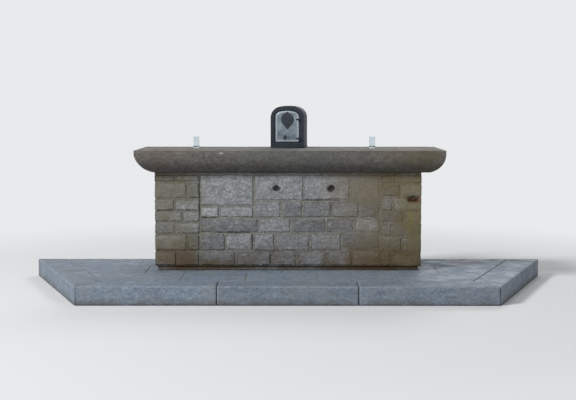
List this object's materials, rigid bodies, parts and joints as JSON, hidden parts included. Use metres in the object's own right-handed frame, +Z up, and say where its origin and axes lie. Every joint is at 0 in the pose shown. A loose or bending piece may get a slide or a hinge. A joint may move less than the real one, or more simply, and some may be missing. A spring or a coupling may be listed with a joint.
{
  "type": "stone altar with tabernacle on a raised step",
  "caption": "Masonry altar with an overhanging rounded table slab, on a low step with canted ends, with an arched iron tabernacle that opens and small glass vases.",
  "frame": {"origin": "floor level under the middle of the step", "axes": "+Z up, -Y towards the front of the altar, +X to the right seen from the front"},
  "size_m": [4.46, 1.5, 1.507],
  "materials": {
    "step_stone": "worn, matt",
    "base_stone": "rough, matt",
    "mensa_stone": "dressed, matt",
    "mortar": "sandy, matt",
    "dark_iron": "forged, waxed",
    "door_metal": "dull, hammered",
    "vase_glass": "clear"
  },
  "bodies": {
    "altar": {"step_front_kerb_1": "step_stone", "step_front_kerb_2": "step_stone", "step_front_kerb_3": "step_stone", "step_left_kerb_1": "step_stone", "step_left_kerb_2": "step_stone", "step_right_kerb_1": "step_stone", "step_right_kerb_2": "step_stone", "step_core": "step_stone", "step_paving": "step_stone", "altar_footing": "mortar", "altar_left_pier": "base_stone", "altar_right_pier": "base_stone", "altar_middle_wall": "base_stone", "mensa_mortar_bed": "mortar", "mensa_slab": "mensa_stone", "tabernacle_base_plate": "dark_iron", "tabernacle_shell": "dark_iron", "tabernacle_front_frame": "dark_iron", "tabernacle_upper_pintle": "dark_iron", "tabernacle_lower_pintle": "dark_iron", "left_vase": "vase_glass", "right_vase": "vase_glass"},
    "tabernacle_door": {"tabernacle_door_panel": "door_metal", "tabernacle_upper_hinge_eye": "dark_iron", "tabernacle_lower_hinge_eye": "dark_iron", "tabernacle_keyhole_plate": "dark_iron", "tabernacle_lock_case": "dark_iron", "tabernacle_medallion": "dark_iron", "tabernacle_medallion_rim": "dark_iron", "tabernacle_medallion_centre": "dark_iron"}
  },
  "joints": [
    {"name": "tabernacle_door_hinge", "type": "hinge", "parent": "altar", "child": "tabernacle_door", "pos_m": [0.09482, 0.44041, 1.301], "axis": [0, 0, 1], "range_deg": [0, 110]}
  ]
}
